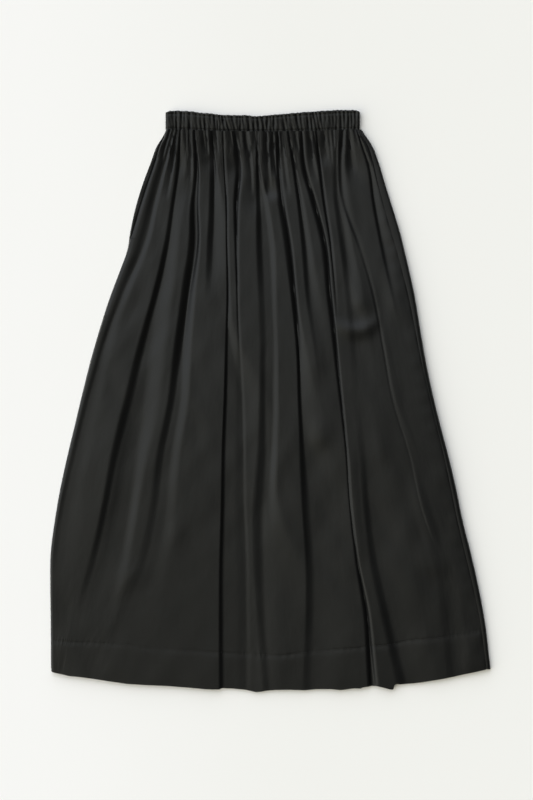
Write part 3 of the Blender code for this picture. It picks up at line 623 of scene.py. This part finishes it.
def make_cloth(name, upper, under, thread_x, above_row, material, ring=False, turned=False):
    """A piece of cloth from the two grids of its wall, the first facing down if turned. Its uv
    and its height above the hem's row are in metres."""
    faces = shell_faces(*upper.shape[:2], ring)
    faces = faces[:, ::-1] if turned else faces
    piece = make_piece(name, np.stack([upper, under]), faces, material)
    uv = np.stack([thread_x, upper[..., 1] - WAIST_SIDE], -1).reshape(-1, 2) * MM
    layer = piece.data.uv_layers.new(name="cloth")
    fill(layer.data, "uv", np.tile(uv, (2, 1))[faces.ravel()])
    field = piece.data.attributes.new("above_hem_row", "FLOAT", "POINT")
    fill(field.data, "value", np.stack([np.broadcast_to(above_row, upper.shape[:2])] * 2))
    return piece


def unit(vectors):
    """Vectors made one long."""
    return vectors / np.linalg.norm(vectors, axis=-1, keepdims=True)


def under_side(points, wall, lowest):
    """The wall's other side: each point moved in along its normal, the cross product of its
    grid's two directions, but never under its rest."""
    normals = unit(np.cross(np.gradient(points, axis=0), np.gradient(points, axis=1)))
    under = points - normals * wall
    under[..., 2] = np.maximum(under[..., 2], lowest)
    return under


def front_lines():
    """Cloth lines of the front's grid: between two guides as many as their widest gap needs,
    closer together towards each guide."""
    names = guide_names()
    lines = []
    for a, b in zip(names, names[1:]):
        gaps = line_x(b, LEVELS) - line_x(a, LEVELS)
        count = int(np.ceil(max(gaps.max() / COLUMN_GAP, (b - a) / WAIST_COLUMN_GAP)))
        t = np.arange(count) / count
        t = t - CROWD * np.sin(2 * np.pi * t)
        lines += list(a + (b - a) * t)
    return np.array([*lines, names[-1]])


def panel_heights(top_x, row_x, hem_x, rows, row_up=0, hem_up=0):
    """Heights of a panel's rows, from its threads' x at the waist, the hem's row and the edge:
    down to the row, closely over the step there, and on to the edge."""
    top = waist_seam(top_x) - SEAM_GAP / 2
    row = along(HEM_ROW, row_x) + row_up
    step = row + np.array(STEP_ROWS)[:, None]
    on = np.linspace(0, 1, HEM_ROWS - len(step) + 1)[1:, None]
    t = np.linspace(0, 1, rows - HEM_ROWS)[:, None]
    down = ROWS_CROWD * t**2 + (1 - ROWS_CROWD) * t
    return np.concatenate([top + (row + ABOVE_STEP - top) * down, step,
                           step[-1] + (along(HEM, hem_x) + hem_up - step[-1]) * on])


def make_front(material):
    """The front: the finest grid, from the waist seam to the hem's edge."""
    lines = front_lines()
    height = panel_heights(line_x(lines, LEVELS[0]), line_x(lines, ROW_LEVEL),
                           line_x(lines, HEM_LEVEL), FRONT_ROWS)
    name = lines + 0 * height
    x = line_x(name, height)
    upper = np.stack([x, height, front_height(x, height)], -1)
    beside = x < side_at(height, "left") + 2 * (POCKET_SHOWS + FACING_TUCK)
    under = under_side(upper, SHELL, np.where(beside, rest_at_side(height), FRONT_REST))
    piece = make_cloth("front", upper, under, line_x(name, 0.0),
                       (height - along(HEM_ROW, x)) * MM, material)
    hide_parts("front_panel")


def back_roll(height):
    """The rolled side at a height: the seam's x, where the roll leaves the floor, how far it
    reaches past that, and its top's z."""
    seam = side_at(height, "seam") + SEAM_GAP / 2
    right = side_at(height, "right")
    top = seam_height(height)
    reach = np.minimum(ROLL_SHARE * (right - seam), top / 2)
    return seam, right - reach, reach, top


def flat_x(part, height):
    """x on the flat of the back, at a share of the way from its left side to its roll."""
    left = side_at(height, "left")
    return left + part * (back_roll(height)[1] - left)


def back_relief(part, height, x):
    """How far the back's outer side stands off the floor: shallow gathers below the waist seam
    that fade out, the squares of cosine waves, and a groove along its hem's row."""
    shifted = part + BACK_SHIFT * np.sin(BACK_SHIFTS * part)
    gathers = 0.5 - 0.5 * np.cos(2 * np.pi * BACK_GATHERS * shifted)
    fades = np.clip(1 - (WAIST_SIDE - height) / BACK_REACH, 0, 1)
    above_row = height - along(HEM_ROW, x) - BACK_HEM_SHORT
    groove = bell(above_row, BACK_GROOVE_HALF, BACK_GROOVE_HALF)
    return BACK_RELIEF * np.maximum(gathers**2 * fades, groove)


def back_flat():
    """The flat of the back: its outer side lies on the floor but for its relief."""
    part = np.arange(BACK_COLUMNS) / BACK_COLUMNS
    height = panel_heights(flat_x(part, LEVELS[0]), flat_x(part, ROW_LEVEL),
                           flat_x(part, LEVELS[-1]), BACK_ROWS, BACK_ROW_UP, BACK_HEM_SHORT)
    part = part + 0 * height
    x = flat_x(part, height)
    inside = soft_step(part / BACK_EDGE) * soft_step((1 - part) / BACK_EDGE)
    return np.stack([[x, height, back_relief(part, height, x) * inside],
                     [x, height, np.full_like(x, BACK_TOP)]])


def back_turn(height):
    """The back's right side: half an ellipse up from the floor, its inner side a wall smaller."""
    turn = np.linspace(-np.pi / 2, np.pi / 2, ROLL_COLUMNS)
    height = height + 0 * turn
    _, start, reach, high = back_roll(height)
    inside, half = np.maximum(reach - BACK_TOP, ROLL_LEAST), high / 2
    c, s = np.cos(turn), np.sin(turn)
    return np.stack([[start + reach * c, height, half + half * s],
                     [start + inside * c, height, half + (half - BACK_TOP) * s]])


def back_over(height):
    """The strip from the roll's top to the seam, which drops a little there."""
    part, height = np.meshgrid(TOP_PARTS, height)
    seam, start, _, high = back_roll(height)
    x = start + (seam - start) * part
    return np.stack([[x, height, high - TOP_DROP * part**4], [x, height, high - BACK_TOP]])


def make_back(material):
    """The back: flat on the floor, its right side rolled up and over to the seam."""
    end = np.array([float(front_right(HEM_LEVEL))])
    height = panel_heights(BAND_RIGHT, end, end, BACK_ROWS, BACK_ROW_UP)
    strips = np.concatenate([back_flat(), back_turn(height), back_over(height)], -1)
    upper, under = np.moveaxis(strips, 1, -1)
    x, height = upper[..., 0], upper[..., 1]
    piece = make_cloth("back", upper, under, x, (height - along(HEM_ROW, x)) * MM, material,
                       turned=True)
    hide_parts("back_panel")


def make_facing(material):
    """The strip in the pocket's mouth: it lies on the back, swells a little along its middle
    and goes in under the front's edge."""
    height = np.linspace(POCKET_HIGH - FACING_END, POCKET_LOW + FACING_END, FACING_ROWS)[:, None]
    part = np.linspace(0, 1, FACING_COLUMNS)
    x = side_at(height, "left") + FACING_INSET + part * (POCKET_SHOWS + FACING_TUCK)
    height = height + 0 * x
    in_mouth = (front_left(height) - x).clip(0)
    inside = soft_step(in_mouth / FACING_SWELL_OVER)
    slope = FACING_SLOPE + FACING_WAVE * np.sin(height / FACING_WAVE_LENGTH)
    swell = FACING_SWELL * inside + slope * in_mouth
    drop = FACING_DROP * np.clip(1 - part / FACING_DROP_SHARE, 0, 1) ** 2 * inside
    upper = np.stack([x, height, FACING_TOP - FACING_LOW + swell - drop], -1)
    under = np.stack([x, height, np.full_like(x, FRONT_REST)], -1)
    piece = make_cloth("pocket_facing", upper, under, x, OFF_ROW, material)
    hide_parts("pocket_facing_left")


def crease_depth(x, share):
    """How far the casing's front goes down: the deepest trough of its creases, which lean from
    their places at the seam to those at the top, and a fine ripple, a product of sine waves."""
    depth = 0
    for c in CREASES:
        line = c.low + (c.top - c.low) * share
        shape = trough(x - line, CREASE_FALL, 0, CREASE_CLIMB, CREASE_CRISP)
        uneven = 1 + CREASE_UNEVEN * np.sin(CREASE_TURN * share + CREASE_START * c.low)
        depth = np.maximum(depth, c.depth * uneven * shape)
    ripple = RIPPLE
    for r in RIPPLES:
        ripple = ripple * np.sin(r.along * x + r.up * share + r.sway * np.sin(x / r.sway_length))
    return CREASE_SHARE * depth + ripple


def casing_row(share):
    """A row of stitches draws the casing in: 1 on a row, 0 a few millimetres off it."""
    down = (1 - share) * CASING_HEIGHT
    return np.maximum(*(bell(down - row, CASING_ROW_HALF, CASING_ROW_HALF) for row in CASING_ROWS))


def band_top_edge(x):
    """y of the casing's top edge: its table's line, scalloped between the creases."""
    places = np.array([c.top for c in CREASES])
    gap = np.abs(x[..., None] - places).min(-1)
    return along(BAND_TOP, x) - SCALLOP * np.exp(-((gap / SCALLOP_HALF) ** 2))


def band_y(x, share):
    """y on the casing, at a share of the way from its seam to its top edge."""
    bottom = waist_seam(x) + SEAM_GAP / 2
    return bottom + (band_top_edge(x) - bottom) * share


def band_relief(x, share):
    """How far the casing's front swells: less towards its seam, in its creases and its rows."""
    swell = BAND_SWELL - BAND_TILT * (1 - share)
    return swell - crease_depth(x, share) - CASING_DRAW * casing_row(share)


def make_band(material):
    """The waistband: a flat casing lying on its own back half, open at the waist and inside
    the skirt. Its front is crinkled, and its two rows of stitches draw it in."""
    half, slot = BAND_BODY / 2, BAND_SLOT / 2
    left, right = BAND_LEFT + half, BAND_RIGHT - half
    front = np.linspace(left, right, BAND_FRONT_COLUMNS)
    back = np.linspace(right, left, BAND_BACK_COLUMNS)
    turns = np.linspace(0, np.pi, BAND_TURN_COLUMNS)[1:-1]
    centres = np.concatenate([front, right + 0 * turns, back, left + 0 * turns])
    turn = np.concatenate([0 * front, turns, np.pi + 0 * back, np.pi + turns])
    lift = np.cos(turn)
    share = np.linspace(0, 1, BAND_ROWS)[:, None]
    rim = (1 - TOP_RIM * np.clip(1 - (1 - share) / TOP_RIM_OVER, 0, 1) ** 2
           - LOW_RIM * np.clip(1 - share / LOW_RIM_OVER, 0, 1) ** 2)
    sides = []
    for body, relief in ((half, 1), (slot, 0)):
        x = centres + body * np.sin(turn) + 0 * share
        on_front = band_relief(x, share) * np.clip(lift, 0, 1) ** 0.5 * relief
        crinkle = np.cos(x * BACK_CRINKLES + np.sin(x / BACK_CRINKLE_SWAY))
        on_back = BACK_CRINKLE * (0.5 - 0.5 * crinkle) * np.clip(-lift, 0, 1) * relief
        z = half + np.where(lift > 0, (body * lift + on_front) * rim, body * lift) + on_back
        sides.append(np.stack([x, band_y(x, share), z], -1))
    piece = make_cloth("band", *sides, sides[0][..., 0], OFF_ROW, material, ring=True, turned=True)
    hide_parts("waistband")


# ---- stitches

def stitch_row(name, ends, material):
    """A row of stitches. Each is a spindle, lifted in its middle so that its ends go into the
    cloth: rings whose radius is the thread's times the root of half a sine wave."""
    start, end = ends[:, 0], ends[:, 1]
    t = np.linspace(STITCH_TIP, 1 - STITCH_TIP, STITCH_RINGS)
    line = start[:, None] + (end - start)[:, None] * t[:, None]
    line[..., 2] += THREAD * (np.sin(np.pi * t) - STITCH_SUNK)
    ahead = unit(end - start)
    side = unit(np.cross((0, 0, 1), ahead))
    up = np.cross(ahead, side)
    turn = np.arange(STITCH_SIDES)[:, None] / STITCH_SIDES * 2 * np.pi
    radius = THREAD * np.sqrt(np.sin(np.pi * t))[None, :, None, None]
    ring = side[:, None, None] * np.cos(turn) + up[:, None, None] * np.sin(turn)
    points = line[:, :, None] + radius * ring
    a = np.arange(STITCH_SIDES)
    b = (a + 1) % STITCH_SIDES
    r = np.arange(STITCH_RINGS - 1)[:, None] * STITCH_SIDES
    tube = quads(r + a, r + b, r + STITCH_SIDES + b, r + STITCH_SIDES + a)
    k = np.arange(1, STITCH_SIDES - 1, 2)
    cap = quads(0 * k, k + 2, k + 1, k)
    last = (STITCH_RINGS - 1) * STITCH_SIDES
    faces = np.concatenate([tube, cap, cap[:, ::-1] + last])
    first = np.arange(len(start))[:, None, None] * STITCH_RINGS * STITCH_SIDES
    faces = (faces + first).reshape(-1, 4)
    make_piece(name, points, faces, material)


def stitches_along(x, y, z):
    """Starts and ends of stitches spaced along a path given by many points."""
    path = np.stack([x, y, z], -1)
    steps = np.linalg.norm(np.diff(path, axis=0), axis=-1)
    run = np.concatenate([[0], np.cumsum(steps)])
    starts = np.arange(STITCH_LEAD, run[-1] - STITCH - STITCH_LEAD, STITCH + STITCH_GAP)
    at = np.stack([starts, starts + STITCH], 1)
    return np.stack([np.interp(at, run, path[:, k]) for k in range(3)], -1)


def row_x(row, left, right):
    """x of many points along a row of stitches between two ends."""
    return np.linspace(left + row.left, right - row.right, row.points)


def make_stitches(material):
    """The hem's row on the front and on the back, the casing's two rows, and the tack at the
    bottom of the pocket's mouth: short stitches side by side."""
    left, right = ROW_ENDS
    x = row_x(FRONT_ROW, front_left(left), front_right(right))
    y = along(HEM_ROW, x)
    z = front_height(x, y) + FRONT_ROW.off
    stitch_row("hem_stitches", stitches_along(x, y, z), material)
    x = row_x(BACK_ROW, side_at(left, "left"), back_roll(right)[1])
    y = along(HEM_ROW, x) + BACK_HEM_SHORT
    ends = stitches_along(x, y, np.full_like(x, BACK_ROW.off))
    stitch_row("back_hem_stitches", ends, material)
    rows = []
    x = row_x(CASING_ROW, BAND_LEFT, BAND_RIGHT)
    for down in CASING_ROWS:
        share = np.full_like(x, 1 - down / CASING_HEIGHT)
        z = BAND_BODY + band_relief(x, share) + CASING_ROW.off
        rows.append(stitches_along(x, band_y(x, share), z))
    stitch_row("casing_stitches", np.concatenate(rows), material)
    x = front_left(POCKET_LOW + TACK_UP) + TACK_INSET + np.linspace(0, TACK_WIDTH, TACK_STITCHES)
    y = np.full_like(x, POCKET_LOW + TACK_UP)
    z = front_height(x, y) - TACK_SUNK
    ends = [np.stack([x, y + half, z], -1) for half in (-TACK_HALF, TACK_HALF)]
    stitch_row("pocket_tack", np.stack(ends, 1), material)


# ---- finishes

class Number:
    """One shader value. Sums, differences and products of it add the Math nodes they need."""

    def __init__(self, nodes, socket):
        self.nodes, self.socket = nodes, socket

    def _math(self, operation, first, second):
        node = self.nodes.add("ShaderNodeMath", {"operation": operation}, {0: first, 1: second})
        return Number(self.nodes, node.outputs[0])

    def __add__(self, other):
        return self._math("ADD", self, other)

    def __sub__(self, other):
        return self._math("SUBTRACT", self, other)

    def __rsub__(self, other):
        return self._math("SUBTRACT", other, self)

    def __mul__(self, other):
        return self._math("MULTIPLY", self, other)

    __radd__, __rmul__ = __add__, __mul__


class Nodes:
    """The nodes of one finish, added one at a time."""

    def __init__(self, owner):
        owner.use_nodes = True
        self.tree = owner.node_tree

    def add(self, kind, settings, inputs):
        """One node: its settings first, then a value or a link for each socket named."""
        node = self.tree.nodes.new(kind)
        for name, value in settings.items():
            setattr(node, name, value)
        self.feed(node, inputs)
        return node

    def feed(self, node, inputs):
        """Sets or links each socket named."""
        for name, value in inputs.items():
            value = value.socket if isinstance(value, Number) else value
            if isinstance(value, bpy.types.NodeSocket):
                self.tree.links.new(value, node.inputs[name])
            else:
                node.inputs[name].default_value = value

    def number(self, kind, settings, inputs, output=0):
        """A new node's output as a number."""
        return Number(self, self.add(kind, settings, inputs).outputs[output])

    def noise(self, place, scale, detail=2.0, roughness=0.5):
        """Noise around zero, about -1 to 1, with its own scale along each axis, in 1/metre."""
        spread = self.add("ShaderNodeVectorMath", {"operation": "MULTIPLY"}, {0: place, 1: scale})
        field = self.number("ShaderNodeTexNoise", {}, {
            "Vector": spread.outputs[0], "Scale": 1.0, "Detail": detail, "Roughness": roughness})
        return (field - 0.5) * 2.0

    def step(self, value, low, high):
        """A smooth step from 0 at low to 1 at high."""
        return self.number("ShaderNodeMapRange", {"interpolation_type": "SMOOTHSTEP"},
                           {"Value": value, "From Min": low, "From Max": high})

    def mix(self, share, first, second):
        """A colour between two, at a share of the way."""
        node = self.add("ShaderNodeMix", {"data_type": "RGBA"},
                        {"Factor": share, 6: first, 7: second})
        return node.outputs[2]

    def field(self, name):
        """A number per point that the mesh carries."""
        return self.number("ShaderNodeAttribute", {"attribute_name": name}, {}, "Fac")

    def place(self):
        """Where a point is on its object."""
        return self.add("ShaderNodeTexCoord", {}, {}).outputs["Object"]

    def bump(self, height, strength=1.0):
        """Normal of a relief whose height is in metres."""
        inputs = {"Strength": strength, "Distance": 1.0, "Height": height}
        return self.add("ShaderNodeBump", {}, inputs).outputs[0]


def new_finish(name):
    """A new material, its nodes, and its shader."""
    material = bpy.data.materials.new(name)
    nodes = Nodes(material)
    return material, nodes, material.node_tree.nodes["Principled BSDF"]


def satin_finish():
    """Black crepe-backed satin: soft crush from wear and packing, fine crinkles, the streaks of
    its warp, its threads, and the double layer of its turned-up hem."""
    material, nodes, shader = new_finish("satin")
    cloth = nodes.add("ShaderNodeUVMap", {"uv_map": "cloth"}, {}).outputs[0]
    crush = nodes.noise(cloth, (24, 13, 1), 1.0, 0.4)
    down = nodes.number("ShaderNodeSeparateXYZ", {}, {"Vector": cloth}, "Y")
    at_waist = nodes.step(down, -0.09, -0.01)
    crinkle = nodes.noise(cloth, (95, 45, 1), 2.0, 0.5)
    streak = nodes.noise(cloth, (420, 7, 1), 2.0, 0.5)
    weave = nodes.noise(cloth, (2600, 420, 1), 1.0, 0.5)
    above_row = nodes.field("above_hem_row")
    doubled = 1.0 - nodes.step(above_row, -0.0015, 0.0015)
    near_row = nodes.step(above_row, -0.010, 0.0) * (1.0 - nodes.step(above_row, 0.0, 0.010))
    pucker = nodes.noise(cloth, (150, 30, 1), 1.0, 0.5) * near_row
    height = (crush * CRUSH + crinkle * (CRINKLE + WAIST_CRINKLE * at_waist) + streak * STREAK
              + weave * WEAVE + pucker * ROW_PUCKER)
    rough = 0.42 + 0.05 * streak + 0.03 * crush + 0.02 * weave - 0.015 * doubled
    nodes.feed(shader, {
        "Base Color": nodes.mix(0.5 + 0.5 * streak + 0.2 * crush, *SATIN_TONES),
        "Roughness": rough, "Normal": nodes.bump(height), "IOR": 1.5,
        "Specular IOR Level": 0.235, "Sheen Weight": 0.03, "Sheen Roughness": 0.35,
    })
    return material


def thread_finish():
    """Black polyester thread: two plies twisted round each other."""
    material, nodes, shader = new_finish("thread")
    place = nodes.place()
    ply = nodes.number("ShaderNodeTexWave", {"bands_direction": "DIAGONAL"}, {
        "Vector": place, "Scale": 900.0, "Distortion": 1.0})
    fuzz = nodes.noise(place, (3000, 3000, 3000), 1.0, 0.5)
    nodes.feed(shader, {
        "Base Color": nodes.mix(ply, *THREAD_TONES), "Roughness": 0.5 + 0.08 * fuzz,
        "Normal": nodes.bump(ply * 0.00005 + fuzz * 0.00001, 0.6), "Specular IOR Level": 0.35,
    })
    return material


def paper_finish():
    """The pale floor: seamless backdrop paper with a faint mottle of its own, and painted light
    falloff: paler on its left and darker towards its right.
    """
    material, nodes, shader = new_finish("floor_paper")
    place = nodes.place()
    mottle = nodes.noise(place, (6, 6, 6), 3.0, 0.5)
    grain = nodes.noise(place, (900, 900, 900), 1.0, 0.5)
    across = nodes.number("ShaderNodeSeparateXYZ", {}, {"Vector": place})
    # The step across x paints light falloff on the paper, paler on the left; the mottle is the
    # paper's own.
    share = nodes.step(across, -0.42, 0.10) + 0.08 * mottle
    nodes.feed(shader, {
        "Base Color": nodes.mix(share, *PAPER_LIT_AND_SHADED_TONES), "Roughness": 0.9 + 0.05 * grain,
        "Normal": nodes.bump(grain * 0.00002, 0.4), "Specular IOR Level": 0.0,
    })
    return material


# ---- floor, light, camera

def make_floor():
    """A wide square sheet of paper under the skirt."""
    mesh = bpy.data.meshes.new("floor")
    s = FLOOR_HALF
    mesh.from_pydata([(-s, -s, 0), (s, -s, 0), (s, s, 0), (-s, s, 0)], [], [(0, 1, 2, 3)])
    mesh.materials.append(paper_finish())
    floor = bpy.data.objects.new("floor", mesh)
    bpy.context.scene.collection.objects.link(floor)


def make_light():
    """Soft studio light from the upper left: a glow that grows by a smooth step of the cosine
    to its middle. It is cool towards the light and the waist, and warm away from them."""
    world = bpy.data.worlds.new("studio")
    bpy.context.scene.world = world
    nodes = Nodes(world)
    way = nodes.add("ShaderNodeTexCoord", {}, {}).outputs["Generated"]
    towards = nodes.number("ShaderNodeVectorMath", {"operation": "DOT_PRODUCT"},
                           {0: way, 1: tuple(unit(np.array(TO_LIGHT)))}, "Value")
    ahead = nodes.number("ShaderNodeSeparateXYZ", {}, {"Vector": way}, "Y")
    glow = nodes.step(towards, DARK_END, BRIGHT_END)
    cool = nodes.step(ahead + COOL_SHARE * towards, WARM_END, COOL_END)
    nodes.feed(nodes.tree.nodes["Background"], {
        "Color": nodes.mix(cool, WARM, COOL), "Strength": LEAST_LIGHT + LIGHT * glow})


def make_camera():
    """A long lens straight above the skirt."""
    camera = bpy.data.cameras.new("camera")
    camera.lens = LENS
    camera.sensor_width = SENSOR
    holder = bpy.data.objects.new("camera", camera)
    holder.location = CAMERA_AT
    bpy.context.scene.collection.objects.link(holder)
    bpy.context.scene.camera = holder
    bpy.context.scene.view_settings.view_transform = "Standard"


satin, thread = satin_finish(), thread_finish()
make_floor()
make_light()
make_camera()
make_back(satin)
make_facing(satin)
make_front(satin)
make_band(satin)
make_stitches(thread)
